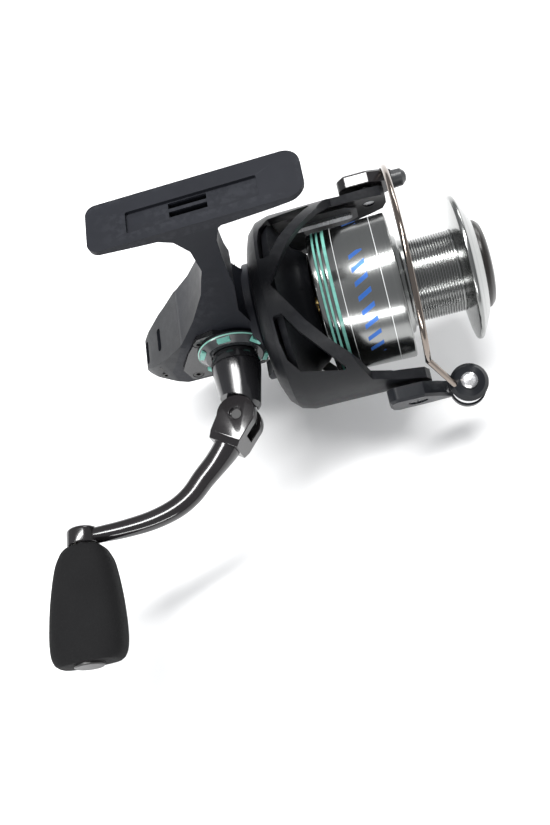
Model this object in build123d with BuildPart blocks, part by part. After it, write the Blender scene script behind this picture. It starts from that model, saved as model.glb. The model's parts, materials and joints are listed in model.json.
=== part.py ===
from build123d import *
from math import atan2, cos, pi, radians, sin
import os

os.makedirs("parts", exist_ok=True)

# Spinning reel, millimetres. The origin is the middle of the foot's rod face,
# +Z points into the rod, +X along the main shaft towards the spool, and the
# handle is on the -Y side. Most sketches are drawn from the point where the
# main shaft crosses the handle's plane, called the heart here.

# ---- driving dimensions ----
FOOT_LENGTH = 63.0
FOOT_WIDTH = 16.4
FOOT_REACH = 7.5          # foot middle ahead of the heart
FOOT_HEIGHT = 68.5        # rod face above the main shaft
FOOT_BACK = FOOT_REACH - FOOT_LENGTH / 2
FOOT_FRONT = FOOT_REACH + FOOT_LENGTH / 2

CASE_HALF = 11.5          # half width of the gear case
WALL = 2.2
COVER_SKIN = 2.8          # thickness of the side cover
STEM_HALF = 5.6

HANDLE_RISE = 6.0         # handle axis above the main shaft
DRIVE_BORE = 2.55
DRIVE_RADIUS = 3.6
CRANK_RADIUS = 57.7
FOLD_X = -1.3             # fold pin, across the handle axis
FOLD_OUT = 38.3           # fold pin, distance out from the shaft
KNOB_START = 69.0         # knob shoulder, distance out from the shaft
KNOB_END = 105.5

SHAFT_RADIUS = 1.95
PINION_RADIUS = 3.5
ARM_TILT = 15.0           # rotor arms turned about the main shaft
ROTOR_RADIUS = 34.5
PIVOT_X = 55.5            # bail pivots along the shaft
ROLLER_X = 72.5
ROLLER_OUT = 39.2
WIRE_RADIUS = 1.0
WIRE_X = 62.5
WIRE_SWEEP = 37.6         # bail wire's reach square to the arms
WIRE_SPAN = 39.4          # bail wire's reach along the arms

SKIRT_BACK = 32.2
SKIRT_FRONT = 57.5
SKIRT_RADIUS = 24.9
DRUM_RADIUS = 13.9
DRUM_FRONT = 78.6
FLANGE_RADIUS = 24.4
NOSE_X = 89.3

FACE_TEETH = 50
PINION_TEETH = 10
DRIVER_TEETH = 11
OSC_TEETH = 13
GEAR_MODULE = 1.0
OSC_THROW = 4.0            # half of the spool stroke
ROD_LOW = -6.2            # guide rods below and above the main shaft
ROD_HIGH = 6.2
ROD_RADIUS = 1.0
BULKHEAD_X = -21.2
KNUCKLE = 6.3              # fold knuckle, radius
TONGUE = 2.4               # half thickness of the shank's tongue
PIN_RADIUS = 1.6
ARM_THICK = 2.9            # half thickness of the handle arm
POST_RADIUS = 2.4
RUNNING = 0.05            # radial clearance of running fits
GAP = 0.3                 # clearance between pieces that move past each other

# ---- frames of reference ----
HEART = Vector(-FOOT_REACH, 0, -FOOT_HEIGHT)
HUB = HEART + Vector(0, 0, HANDLE_RISE)
TILT_COS = cos(radians(ARM_TILT))
TILT_SIN = sin(radians(ARM_TILT))
FAR_ARM = Vector(0, TILT_COS, TILT_SIN)
SIDEWAYS = Vector(0, -TILT_SIN, TILT_COS)

SIDE = Plane(origin=HEART, x_dir=(1, 0, 0), z_dir=(0, -1, 0))      # x along shaft, y up
ACROSS = Plane(origin=HEART, x_dir=(0, 1, 0), z_dir=(1, 0, 0))     # looking back down the shaft
LEVEL = Plane(origin=HEART, x_dir=(1, 0, 0), z_dir=(0, 0, 1))
HANDLE_SIDE = Plane(origin=HUB, x_dir=(0, -1, 0), z_dir=(-1, 0, 0))  # x outwards, y radius
HANDLE_FACE = Plane(origin=HUB, x_dir=(1, 0, 0), z_dir=(0, -1, 0))   # seen from the handle
CRANK_LEVEL = Plane(origin=HUB, x_dir=(1, 0, 0), z_dir=(0, 0, 1))
ARM_PLAN = Plane(origin=HEART, x_dir=(1, 0, 0), z_dir=SIDEWAYS)      # x along shaft, y to far arm
ARM_FACE = Plane(origin=HEART, x_dir=(1, 0, 0), z_dir=-FAR_ARM)      # z out through the near arm
SHAFT_AXIS = Axis(HEART, (1, 0, 0))
HANDLE_AXIS = Axis(HUB, (0, -1, 0))
OSC_Z = 0.5
OSC_X = -(((DRIVER_TEETH + OSC_TEETH) * GEAR_MODULE / 2) ** 2 - (HANDLE_RISE - OSC_Z) ** 2) ** 0.5
OSC_CENTRE = HEART + Vector(OSC_X, 0, OSC_Z)
OSC_FACE = Plane(origin=OSC_CENTRE, x_dir=(1, 0, 0), z_dir=(0, -1, 0))


def save(piece, name):
    """Name a finished sub-part and write its file."""
    piece.part.label = name
    export_step(piece.part, f"parts/{name}.step")


def turned(points, plane=SIDE, axis=SHAFT_AXIS):
    """A closed outline of (along, radius) points turned about an axis."""
    with BuildPart() as piece:
        with BuildSketch(plane):
            with BuildLine():
                Polyline(*points, close=True)
            make_face()
        revolve(axis=axis)
    return piece


def ring(x_from, x_to, r_in, r_out, plane=SIDE, axis=SHAFT_AXIS):
    """A plain ring between two stations along an axis."""
    return turned([(x_from, r_in), (x_to, r_in), (x_to, r_out), (x_from, r_out)], plane, axis)


def gear_outline(teeth, root, tip, share_root=0.46, share_tip=0.24, phase=0.0):
    """Corner points of a plain spur gear; the shares are tooth widths in pitches."""
    points = []
    pitch = 2 * pi / teeth
    for tooth in range(teeth):
        middle = phase + tooth * pitch
        for radius, offset in (
            (root, -share_root / 2),
            (tip, -share_tip / 2),
            (tip, share_tip / 2),
            (root, share_root / 2),
        ):
            angle = middle + offset * pitch
            points.append((radius * cos(angle), radius * sin(angle)))
    return points


# ================= gear case, stem and foot =================
CASE_OUTLINE = [
    (11.0, -12.0), (-6.0, -13.2), (-18.0, -12.0), (-28.0, -8.0), (-36.0, -4.6), (-30.7, 0.9),
    (-21.4, 9.4), (-14.4, 16.4), (-8.0, 24.3), (-1.8, 34.2), (1.8, 44.0), (9.0, 46.0), (9.0, 34.0),
    (7.2, 24.0), (9.4, 18.0), (11.0, 11.0),
]
SEAM = [(-12.6, 26.0), (-12.8, 22.0), (-16.0, 14.0), (-20.0, 6.0), (-24.5, -2.0), (-24.5, -18.0),
        (-45.0, -18.0), (-45.0, 26.0)]


def case_envelope(shrink=0.0):
    """The gear case's outer form, or the same form smaller by a wall.

    It is what three outlines have in common: the side view, the end view and the plan.
    """
    half = CASE_HALF - shrink
    with BuildPart() as form:
        with BuildSketch(SIDE.offset(-half)):
            with BuildLine():
                Polyline(*CASE_OUTLINE, close=True)
            side_view = make_face()
            fillet(side_view.vertices().group_by(Axis.X)[0], 3.0)
            if shrink:
                offset(amount=-shrink, kind=Kind.INTERSECTION)
        extrude(amount=2 * half)
        with BuildSketch(ACROSS.offset(-60)):
            with BuildLine():
                Polyline(
                    (half, -13.3 + shrink), (half, 13.0), (STEM_HALF - shrink, 40.0),
                    (STEM_HALF - shrink, 50.0), (-STEM_HALF + shrink, 50.0),
                    (-STEM_HALF + shrink, 40.0), (-half, 13.0), (-half, -13.3 + shrink), close=True,
                )
            end_view = make_face()
            fillet(end_view.vertices().group_by(Axis.Y)[0], 6.5 - shrink)
        extrude(amount=120, mode=Mode.INTERSECT)
        with BuildSketch(LEVEL.offset(-30)):
            with BuildLine():
                Polyline((14.0, -half), (14.0, half), (-14.0, half), (-25.0, half - 1.8), (-31.0, half - 4.0),
                         (-35.0, half - 6.8), (-37.0, 0), (-35.0, -half + 6.8), (-31.0, -half + 4.0),
                         (-25.0, -half + 1.8), (-14.0, -half), close=True)
            make_face()
        extrude(amount=90, mode=Mode.INTERSECT)
    return form


outer_form = case_envelope()
inner_form = case_envelope(WALL)

with BuildPart() as rear_region:
    with BuildSketch(SIDE.offset(-30)):
        with BuildLine():
            Polyline(*SEAM, close=True)
        make_face()
    extrude(amount=60)

COVER_OUT = CASE_HALF + 0.6
BOSS_OUT = 13.4
BOSS_RADIUS = 10.4
COVER_OUTLINE = [(9.4, -6.4), (-4.0, -6.8), (-18.4, -6.4), (-19.6, 1.0), (-14.6, 10.5), (-9.4, 17.6),
                 (-3.5, 18.6), (8.2, 12.2), (9.4, 11.0)]
RING_OUT = 14.9
RING_RADIUS = 12.2
RETAINER_FRONT = 20.1
REAR_SKIN = 1.1


def screws(places, head_radius, head_height, shank_radius, shank_length, plane, socket=True):
    """Socket screws at (x, y) places on a plane under their heads; without sockets, their holes."""
    with BuildPart() as group:
        with BuildSketch(plane):
            with Locations(*places):
                Circle(head_radius)
        extrude(amount=head_height)
        with BuildSketch(plane):
            with Locations(*places):
                Circle(shank_radius)
        extrude(amount=-shank_length)
        if socket:
            with BuildSketch(plane.offset(head_height)):
                with Locations(*places):
                    RegularPolygon(head_radius * 0.5, 6)
            extrude(amount=-head_height * 0.6, mode=Mode.SUBTRACT)
    return group


# places, head radius and height, shank radius and length, plane under the heads
COVER_SCREWS = ([(-15.8, -4.0), (-9.6, 14.6), (6.6, -4.2)], 1.8, 1.2, 1.1, 3.2, SIDE.offset(COVER_OUT - 1.3))
REAR_SCREWS = ([(-27.6, -4.6), (-26.6, 0.6)], 1.5, 1.0, 0.9, 2.0, SIDE.offset(CASE_HALF - 3.6))
RETAINER_PLACES = [(9.4 * cos(2 * pi * k / 3), 9.4 * sin(2 * pi * k / 3)) for k in range(3)]
RETAINER_SCREWS = (RETAINER_PLACES, 1.5, 0.8, 0.95, 2.2, ACROSS.offset(RETAINER_FRONT))
cover_holes = screws(*COVER_SCREWS, socket=False)
rear_holes = screws(*REAR_SCREWS, socket=False)
retainer_holes = screws(*RETAINER_SCREWS, socket=False)
rear_core = case_envelope(REAR_SKIN)

with BuildPart() as rear_cover:
    add(outer_form.part)
    add(rear_region.part, mode=Mode.INTERSECT)
    add(rear_core.part, mode=Mode.SUBTRACT)
    for slot_x, slot_z in ((-26.0, 5.4), (-32.6, -1.0)):
        slot_place = Plane(origin=HEART + Vector(slot_x, 0, slot_z), x_dir=(0, 1, 0), z_dir=(-0.7, 0, 0.7))
        with BuildSketch(slot_place.offset(-2.5)):
            SlotOverall(9.0, 2.2)
        extrude(amount=6.0, mode=Mode.SUBTRACT)
    add(rear_holes.part, mode=Mode.SUBTRACT)
save(rear_cover, "rear_cover")

STEM_BACK = [(1.8, 41.0), (1.6, 54.0), (-1.5, 60.0), (-8.0, 63.6), (-14.0, 65.4)]
STEM_FRONT = [(24.0, 65.4), (16.5, 63.8), (12.3, 61.0), (10.3, 56.0), (9.4, 48.0), (9.0, 40.0), (8.2, 30.0)]
BELL_OUTER = 17.6
BELL_FRONT = 19.0
with BuildPart() as bulkhead:
    with BuildSketch(ACROSS.offset(BULKHEAD_X)):
        with Locations((0, -1.0)):
            Rectangle(2 * CASE_HALF, 19.0)
    extrude(amount=2.2)
    add(case_envelope(WALL - 0.2).part, mode=Mode.INTERSECT)
with BuildPart() as gear_housing:
    add(outer_form.part)
    add(rear_region.part, mode=Mode.SUBTRACT)
    add(rear_core.part)
    # stem, waisted between the case and the foot
    with BuildSketch(SIDE.offset(-STEM_HALF)):
        with BuildLine():
            Polyline(*(STEM_BACK + STEM_FRONT), close=True)
        make_face()
    extrude(amount=2 * STEM_HALF)
    # foot, thinning towards both ends
    with BuildSketch(SIDE.offset(-FOOT_WIDTH / 2)):
        with BuildLine():
            Polyline(
                (FOOT_BACK, FOOT_HEIGHT), (FOOT_BACK, FOOT_HEIGHT - 1.6), (FOOT_BACK + 14, FOOT_HEIGHT - 2.8),
                (FOOT_REACH - 6, FOOT_HEIGHT - 3.6), (FOOT_REACH + 8, FOOT_HEIGHT - 3.6),
                (FOOT_FRONT - 10, FOOT_HEIGHT - 2.6), (FOOT_FRONT, FOOT_HEIGHT - 1.4),
                (FOOT_FRONT, FOOT_HEIGHT), close=True,
            )
        make_face()
    extrude(amount=FOOT_WIDTH)
    foot_corners = gear_housing.edges().filter_by(Axis.Z).filter_by(
        lambda e: e.center().Z > -2.0 and abs(abs(e.center().Y) - FOOT_WIDTH / 2) < 0.1)
    fillet(foot_corners.group_by(Axis.X)[0], 3.2)
    fillet(gear_housing.edges().filter_by(Axis.Z).filter_by(
        lambda e: e.center().Z > -2.0 and abs(abs(e.center().Y) - FOOT_WIDTH / 2) < 0.1
    ).group_by(Axis.X)[-1], 5.0)
    # shallow panel in the rod face, with two slots in it
    with BuildSketch(LEVEL.offset(FOOT_HEIGHT)):
        with Locations((FOOT_REACH - 0.4, -1.2)):
            RectangleRounded(38.4, 7.4, 0.6)
    extrude(amount=-1.0, mode=Mode.SUBTRACT)
    with BuildSketch(LEVEL.offset(FOOT_HEIGHT - 1.0)):
        with Locations((FOOT_REACH - 1.5, 1.1), (FOOT_REACH - 1.5, -1.9)):
            Rectangle(11.2, 1.9)
    extrude(amount=-2.2, mode=Mode.SUBTRACT)
    # front flange and bell that carry the pinion bearing
    with BuildSketch(SIDE):
        with BuildLine():
            Polyline((8.8, 0), (8.8, 20.5), (11.2, 20.5), (11.8, 19.9), (11.8, BELL_OUTER),
                     (BELL_FRONT, BELL_OUTER - 0.8), (BELL_FRONT, 0), close=True)
        make_face()
    revolve(axis=SHAFT_AXIS)
    # far seat of the handle axis
    with BuildSketch(HANDLE_SIDE):
        with BuildLine():
            Polyline((-7.6, 0), (-7.6, 9.6), (-11.2, 9.6), (-15.0, 6.6), (-15.0, 0), close=True)
        make_face()
    revolve(axis=HANDLE_AXIS)
    # gear room, open towards the handle side
    add(inner_form.part, mode=Mode.SUBTRACT)
    with BuildSketch(SIDE.offset(CASE_HALF - WALL - 0.6)):
        with BuildLine():
            Polyline(*COVER_OUTLINE, close=True)
        opening_view = make_face()
        fillet(opening_view.vertices(), 1.0)
        offset(amount=0.1, kind=Kind.INTERSECTION)
        with Locations((0, HANDLE_RISE)):
            Circle(BOSS_RADIUS + 0.1)
    extrude(amount=WALL + 3, mode=Mode.SUBTRACT)
    # room for the drive gear
    with BuildSketch(HANDLE_FACE.offset(3.8)):
        Circle(13.9)
    extrude(amount=3.9, mode=Mode.SUBTRACT)
    # keep the stem and upper web solid
    with BuildSketch(SIDE.offset(-STEM_HALF)):
        with BuildLine():
            Polyline((-2.0, 31.0), (7.4, 26.0), (8.9, 34.0), (9.0, 45.8), (2.0, 43.8), (-1.6, 34.0), close=True)
        make_face()
    extrude(amount=2 * STEM_HALF)
    with BuildSketch(ACROSS.offset(7.0)):
        Circle(14.9)
    extrude(amount=9.2, mode=Mode.SUBTRACT)
    # bearing seat tube inside the bell
    with BuildSketch(ACROSS.offset(13.9)):
        Circle(10.6)
    extrude(amount=3.0)
    with BuildSketch(ACROSS.offset(13.0)):
        Circle(8.0)
    extrude(amount=6.5, mode=Mode.SUBTRACT)
    # far bearing seat and bolt hole
    with BuildSketch(HANDLE_FACE.offset(-11.6)):
        Circle(7.5)
    extrude(amount=6.0, mode=Mode.SUBTRACT)
    with BuildSketch(HANDLE_FACE.offset(-16.0)):
        Circle(DRIVE_RADIUS + 0.6)
    extrude(amount=6.0, mode=Mode.SUBTRACT)
    # post for the oscillation gear
    with BuildSketch(SIDE.offset(-CASE_HALF + WALL / 2)):
        with Locations((OSC_X, OSC_Z)):
            Circle(2.2)
    extrude(amount=6.0)
    # bulkhead at the back that holds the guide rods
    add(bulkhead.part)
    with BuildSketch(ACROSS.offset(BULKHEAD_X + 0.4)):
        with Locations((0, ROD_LOW), (0, ROD_HIGH)):
            Circle(ROD_RADIUS)
    extrude(amount=3.0, mode=Mode.SUBTRACT)
    # the flange is notched round the trim ring and the crank
    with BuildSketch(HANDLE_FACE.offset(COVER_OUT)):
        Circle(RING_RADIUS + GAP)
    extrude(amount=10.0, mode=Mode.SUBTRACT)
    for holes in (cover_holes, rear_holes, retainer_holes):
        add(holes.part, mode=Mode.SUBTRACT)
save(gear_housing, "gear_housing")

# ---- side cover with the handle boss ----
with BuildPart() as side_cover:
    with BuildSketch(SIDE.offset(CASE_HALF - WALL - 0.5)):
        with BuildLine():
            Polyline(*COVER_OUTLINE, close=True)
        cover_view = make_face()
        fillet(cover_view.vertices(), 1.0)
    extrude(amount=COVER_OUT - CASE_HALF + WALL + 0.5)
    with BuildSketch(HANDLE_SIDE):
        with BuildLine():
            Polyline((CASE_HALF - WALL - 0.6, 0), (CASE_HALF - WALL - 0.6, BOSS_RADIUS),
                     (BOSS_OUT - 0.8, BOSS_RADIUS), (BOSS_OUT, BOSS_RADIUS - 1.0), (BOSS_OUT, 0), close=True)
        make_face()
    revolve(axis=HANDLE_AXIS)
    with BuildSketch(HANDLE_FACE.offset(5)):
        Circle(7.0)
    extrude(amount=7.4, mode=Mode.SUBTRACT)
    with BuildSketch(HANDLE_FACE.offset(5)):
        Circle(DRIVE_RADIUS + 0.5)
    extrude(amount=12.0, mode=Mode.SUBTRACT)
    add(cover_holes.part, mode=Mode.SUBTRACT)
    with BuildSketch(SIDE.offset(COVER_OUT - 1.3)):
        with Locations(*COVER_SCREWS[0]):
            Circle(2.0)
    extrude(amount=3.0, mode=Mode.SUBTRACT)
save(side_cover, "side_cover")


save(screws(*COVER_SCREWS), "side_cover_screws")
save(screws(*REAR_SCREWS), "rear_cover_screws")

# ---- trim ring round the boss, with raised windows ----
WINDOWS = 6
with BuildPart() as trim_ring:
    with BuildSketch(HANDLE_SIDE):
        with BuildLine():
            Polyline((COVER_OUT + 0.1, BOSS_RADIUS + 0.05), (COVER_OUT + 0.1, RING_RADIUS), (12.9, RING_RADIUS),
                     (13.3, RING_RADIUS - 0.4), (RING_OUT, 9.6), (RING_OUT, 7.9), (BOSS_OUT + 0.1, 7.9),
                     (BOSS_OUT + 0.1, BOSS_RADIUS + 0.05), close=True)
        make_face()
    revolve(axis=HANDLE_AXIS)
save(trim_ring, "trim_ring")

WINDOW_PLANE = HANDLE_FACE.offset(13.2)
with BuildPart() as ring_windows:
    with BuildSketch(WINDOW_PLANE):
        with PolarLocations(0.5 * (RING_RADIUS - 0.4 + 9.6) + 0.1, WINDOWS, start_angle=33):
            Rectangle(1.5, 4.4)
    extrude(amount=1.5)
    with BuildSketch(HANDLE_SIDE):
        with BuildLine():
            Polyline((12.0, 0), (12.0, RING_RADIUS), (13.3, RING_RADIUS - 0.4), (RING_OUT, 9.6),
                     (RING_OUT, 0), close=True)
        make_face()
    revolve(axis=HANDLE_AXIS, mode=Mode.SUBTRACT)
save(ring_windows, "ring_windows")

# ---- bearings and clutch ----
save(ring(9.3, 12.3, DRIVE_RADIUS + 0.02, 7.0, HANDLE_SIDE, HANDLE_AXIS), "cover_bearing")
save(ring(-11.6, -8.7, DRIVE_RADIUS + 0.02, 7.5, HANDLE_SIDE, HANDLE_AXIS), "case_bearing")
save(ring(16.4, 19.0, PINION_RADIUS + 0.02, 8.0), "pinion_bearing")
save(ring(13.9, 16.3, PINION_RADIUS + 0.02, 8.0), "one_way_clutch")
with BuildPart() as bearing_retainer:
    with BuildSketch(ACROSS.offset(BELL_FRONT)):
        Circle(11.0)
        Circle(PINION_RADIUS + 0.5, mode=Mode.SUBTRACT)
        with Locations(*RETAINER_PLACES):
            Circle(1.0, mode=Mode.SUBTRACT)
    extrude(amount=RETAINER_FRONT - BELL_FRONT)
save(bearing_retainer, "bearing_retainer")
save(screws(*RETAINER_SCREWS), "retainer_screws")
with BuildPart() as guide_rods:
    with BuildSketch(ACROSS.offset(BULKHEAD_X + 0.4)):
        with Locations((0, ROD_LOW), (0, ROD_HIGH)):
            Circle(ROD_RADIUS)
    extrude(amount=16.6)
save(guide_rods, "guide_rods")

# ================= drive =================
with BuildPart() as drive_gear:
    with BuildSketch(HANDLE_FACE.offset(5.2)):
        Circle(13.5)
        Circle(DRIVE_RADIUS, mode=Mode.SUBTRACT)
    extrude(amount=2.0)
    with BuildSketch(HANDLE_FACE.offset(4.4)):
        with PolarLocations(11.4, FACE_TEETH):
            Rectangle(4.0, 0.62)
    extrude(amount=0.9)
save(drive_gear, "drive_gear")

DRIVER_PITCH = DRIVER_TEETH * GEAR_MODULE / 2
OSC_PITCH = OSC_TEETH * GEAR_MODULE / 2
MESH_ANGLE = atan2(OSC_Z - HANDLE_RISE, OSC_X)     # from the handle axis to the oscillation gear
GEAR_SPAN = (-7.4, -5.2)                           # both gears, measured outwards
with BuildPart() as drive_shaft:
    with BuildSketch(HANDLE_FACE.offset(-12.3)):
        Circle(DRIVE_RADIUS)
    extrude(amount=27.4)
    with BuildSketch(HANDLE_FACE.offset(GEAR_SPAN[0])):
        with BuildLine():
            Polyline(*gear_outline(DRIVER_TEETH, DRIVER_PITCH - 0.9, DRIVER_PITCH + 0.6, phase=MESH_ANGLE),
                     close=True)
        make_face()
    extrude(amount=GEAR_SPAN[1] - GEAR_SPAN[0])
    with BuildSketch(HANDLE_FACE.offset(-13)):
        Circle(DRIVE_BORE)
    extrude(amount=30.0, mode=Mode.SUBTRACT)
save(drive_shaft, "drive_shaft")

with BuildPart() as oscillation_gear:
    with BuildSketch(OSC_FACE.offset(GEAR_SPAN[0])):
        with BuildLine():
            Polyline(*gear_outline(OSC_TEETH, OSC_PITCH - 0.9, OSC_PITCH + 0.6,
                                   phase=MESH_ANGLE + pi + pi / OSC_TEETH), close=True)
        make_face()
        Circle(2.2 + RUNNING, mode=Mode.SUBTRACT)
    extrude(amount=GEAR_SPAN[1] - GEAR_SPAN[0])
    # the throw pin stands off the face and drives the slider's slot
    with BuildSketch(SIDE.offset(GEAR_SPAN[1])):
        with Locations((OSC_X, OSC_Z + OSC_THROW)):
            Circle(1.5)
    extrude(amount=2.2)
save(oscillation_gear, "oscillation_gear")

# ================= main shaft and slider =================
SLIDER_X = OSC_X           # the spool rests at mid stroke
SHAFT_BACK = SLIDER_X - 2.5
SHAFT_FRONT = 85.0
with BuildPart() as main_shaft:
    with BuildSketch(ACROSS.offset(SHAFT_BACK)):
        Circle(SHAFT_RADIUS)
    extrude(amount=SHAFT_FRONT - SHAFT_BACK)
    with BuildSketch(SIDE.offset(-4)):
        with Locations((55.0, 0)):
            Circle(0.8)
    extrude(amount=8, mode=Mode.SUBTRACT)
    chamfer(main_shaft.edges().group_by(Axis.X)[-1], 0.4)
save(main_shaft, "main_shaft")

SLIDER_HALF = 2.5
SLIDER_SCREW = ([(SLIDER_X, -3.6)], 1.2, 0.7, 0.8, 2.4, SIDE.offset(2.6))
slider_hole = screws(*SLIDER_SCREW, socket=False)
with BuildPart() as slider:
    with BuildSketch(ACROSS.offset(SLIDER_X - SLIDER_HALF)):
        RectangleRounded(5.2, 15.2, 1.0)
        with Locations((0, ROD_LOW), (0, ROD_HIGH)):
            Circle(ROD_RADIUS + RUNNING, mode=Mode.SUBTRACT)
        Circle(SHAFT_RADIUS, mode=Mode.SUBTRACT)
    extrude(amount=2 * SLIDER_HALF)
    # cross slot for the throw pin, cut from the far side
    with BuildSketch(SIDE.offset(-3.4)):
        with Locations((SLIDER_X, OSC_Z)):
            Rectangle(3.1, 2 * OSC_THROW + 3.4)
    extrude(amount=1.2, mode=Mode.SUBTRACT)
    add(slider_hole.part, mode=Mode.SUBTRACT)
save(slider, "oscillation_slider")
save(screws(*SLIDER_SCREW), "slider_screw")

with BuildPart() as shaft_pin:
    with BuildSketch(SIDE.offset(-4.6)):
        with Locations((55.0, 0)):
            Circle(0.78)
    extrude(amount=9.2)
save(shaft_pin, "shaft_pin")
save(turned([(52.6, SHAFT_RADIUS), (53.9, SHAFT_RADIUS), (53.9, 6.2), (52.6, 6.2)]), "spool_washer")

# ================= pinion and rotor =================
PINION_BACK = 5.0
TEETH_END = 12.6
PINION_END = 33.5
PINION_BORE = SHAFT_RADIUS + 0.07
with BuildPart() as pinion:
    with BuildSketch(ACROSS.offset(PINION_BACK)):
        with BuildLine():
            Polyline(*gear_outline(PINION_TEETH, 3.15, 4.1, 0.5, 0.24), close=True)
        make_face()
    extrude(amount=TEETH_END - PINION_BACK)
    with BuildSketch(ACROSS.offset(TEETH_END)):
        Circle(PINION_RADIUS)
    extrude(amount=PINION_END - TEETH_END)
    with BuildSketch(ACROSS.offset(PINION_BACK - 1)):
        Circle(PINION_BORE)
    extrude(amount=PINION_END, mode=Mode.SUBTRACT)
save(pinion, "pinion_gear")

PLATE_BACK = 21.6
PLATE_FRONT = 24.4
SHELL_INNER = 31.3
ARM_END = 61.5
HUB_RADIUS = 19.6
HUB_FRONT = 31.0
SIDE_CUT = [(19.8, 0), (23.0, 5.2), (27.9, 13.1), (33.0, 19.3), (38.3, 24.4), (44.0, 28.2), (50.0, 30.2),
            (64.0, 31.0), (64.0, 0)]
WINDOW_CUT = [(18.1, 9.5), (18.1, 17.0), (18.9, 22.3), (22.0, 26.2), (38.6, 29.0), (35.2, 26.6),
              (30.4, 21.7), (24.9, 15.5), (21.2, 9.5)]
with BuildPart() as rotor:
    with BuildSketch(SIDE):
        with BuildLine():
            Polyline((12.6, 23.4), (12.6, 26.0), (14.2, 30.0), (17.0, 32.8), (21.5, 34.0), (46.0, 34.0),
                     (52.0, ROTOR_RADIUS), (ARM_END, ROTOR_RADIUS + 0.4), (ARM_END, SHELL_INNER), (22.0, SHELL_INNER - 0.2),
                     (18.0, 29.4), (PLATE_BACK, 22.6), (PLATE_BACK, 20.0), (15.5, 22.6), close=True)
        shell_view = make_face()
    revolve(axis=SHAFT_AXIS)
    # open sides between the two arms
    for sign in (1, -1):
        with BuildSketch(ARM_PLAN.offset(-40)):
            with BuildLine():
                Polyline(*[(x, sign * s) for x, s in SIDE_CUT], close=True)
            make_face()
        extrude(amount=80, mode=Mode.SUBTRACT)
        # a window on each side of each arm
        with BuildSketch(ARM_PLAN.offset(-40)):
            with BuildLine():
                Polyline(*[(x, sign * s) for x, s in WINDOW_CUT], close=True)
            window_view = make_face()
            fillet(window_view.vertices(), 0.8)
        extrude(amount=80, mode=Mode.SUBTRACT)
    # arms narrow to a round end about the bail pivot
    with BuildSketch(ARM_FACE.offset(-40)):
        with BuildLine():
            Polyline((0, 40), (32, 40), (43.0, 11.5), (50.0, 8.6), (PIVOT_X, 7.2), (60.0, 5.6), (61.5, 2.4),
                     (61.5, -2.4), (60.0, -5.6), (PIVOT_X, -7.2), (50.0, -8.6), (43.0, -11.5), (32, -40),
                     (0, -40), close=True)
        make_face()
    extrude(amount=80, mode=Mode.INTERSECT)
    # hub drum and plate
    with BuildSketch(SIDE):
        with BuildLine():
            Polyline((PLATE_BACK, PINION_RADIUS), (PLATE_BACK, 23.0), (19.4, 25.5), (19.0, 30.4), (21.3, 31.9),
                     (23.0, 28.0), (24.4, 24.6), (26.4, 21.4), (HUB_FRONT - 1.6, HUB_RADIUS),
                     (HUB_FRONT, HUB_RADIUS - 1.6), (HUB_FRONT, HUB_RADIUS - 3.0), (PLATE_FRONT, HUB_RADIUS - 3.0),
                     (PLATE_FRONT, PINION_RADIUS), close=True)
        make_face()
    revolve(axis=SHAFT_AXIS)
    # pivot bores and bosses
    with BuildSketch(ARM_FACE.offset(-40)):
        with Locations((PIVOT_X, 0)):
            Circle(2.0)
    extrude(amount=80, mode=Mode.SUBTRACT)
save(rotor, "rotor")

with BuildPart() as rotor_nut:
    with BuildSketch(ACROSS.offset(PLATE_FRONT)):
        RegularPolygon(6.6, 6)
        Circle(PINION_RADIUS, mode=Mode.SUBTRACT)
    extrude(amount=3.2)
save(rotor_nut, "rotor_nut")
with BuildPart() as nut_lock:
    with BuildSketch(ACROSS.offset(PLATE_FRONT + 3.2)):
        Circle(12.2)
        Circle(PINION_RADIUS + 0.3, mode=Mode.SUBTRACT)
    extrude(amount=0.8)
    with BuildSketch(ACROSS.offset(PLATE_FRONT)):
        with Locations((0, 10.5), (0, -10.5)):
            Circle(1.4)
    extrude(amount=3.2)
save(nut_lock, "nut_lock_plate")


def on_arms(x, along, out):
    """A point given along the shaft, along the far arm, and square to both."""
    return HEART + Vector(x, 0, 0) + FAR_ARM * along + SIDEWAYS * out


# pieces on the rotor arms
with BuildPart() as arm_covers:
    for near in (1, -1):
        with BuildSketch(ARM_FACE.offset(29.4 * near)):
            with BuildLine():
                Polyline((31.0, 7.6), (47.0, 6.6), (51.0, 4.0), (51.0, -4.0), (47.0, -6.6), (31.0, -7.6),
                         close=True)
            cover_view = make_face()
            fillet(cover_view.vertices(), 1.2)
        extrude(amount=0.8 * near)
save(arm_covers, "arm_covers")
with BuildPart() as bail_screws:
    for near in (1, -1):
        with BuildSketch(ARM_FACE.offset(31.6 * near)):
            with Locations((PIVOT_X, 0)):
                Circle(1.95)
        extrude(amount=7.4 * near)
        with BuildSketch(ARM_FACE.offset(39.0 * near)):
            with Locations((PIVOT_X, 0)):
                Circle(3.1)
        extrude(amount=1.1 * near)
        with BuildSketch(ARM_FACE.offset(40.1 * near)):
            with Locations((PIVOT_X, 0)):
                Rectangle(4.4, 0.8)
                Rectangle(0.8, 4.4)
        extrude(amount=-0.7 * near, mode=Mode.SUBTRACT)
save(bail_screws, "bail_screws")

with BuildPart() as bail_spring:
    with BuildLine() as coil:
        Helix(pitch=0.75, height=1.5, radius=3.5, center=on_arms(PIVOT_X, -36.0, 0), direction=-FAR_ARM)
    with BuildSketch(Plane(origin=coil.line @ 0, z_dir=coil.line % 0)):
        Circle(0.28)
    sweep(path=coil.line, is_frenet=True)
save(bail_spring, "bail_spring")

with BuildPart() as trip_lever:
    with BuildSketch(ARM_FACE.offset(-28.5)):
        with Locations((38.0, 0.0)):
            SlotOverall(22.0, 3.2)
    extrude(amount=-0.9)
save(trip_lever, "trip_lever")

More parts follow.
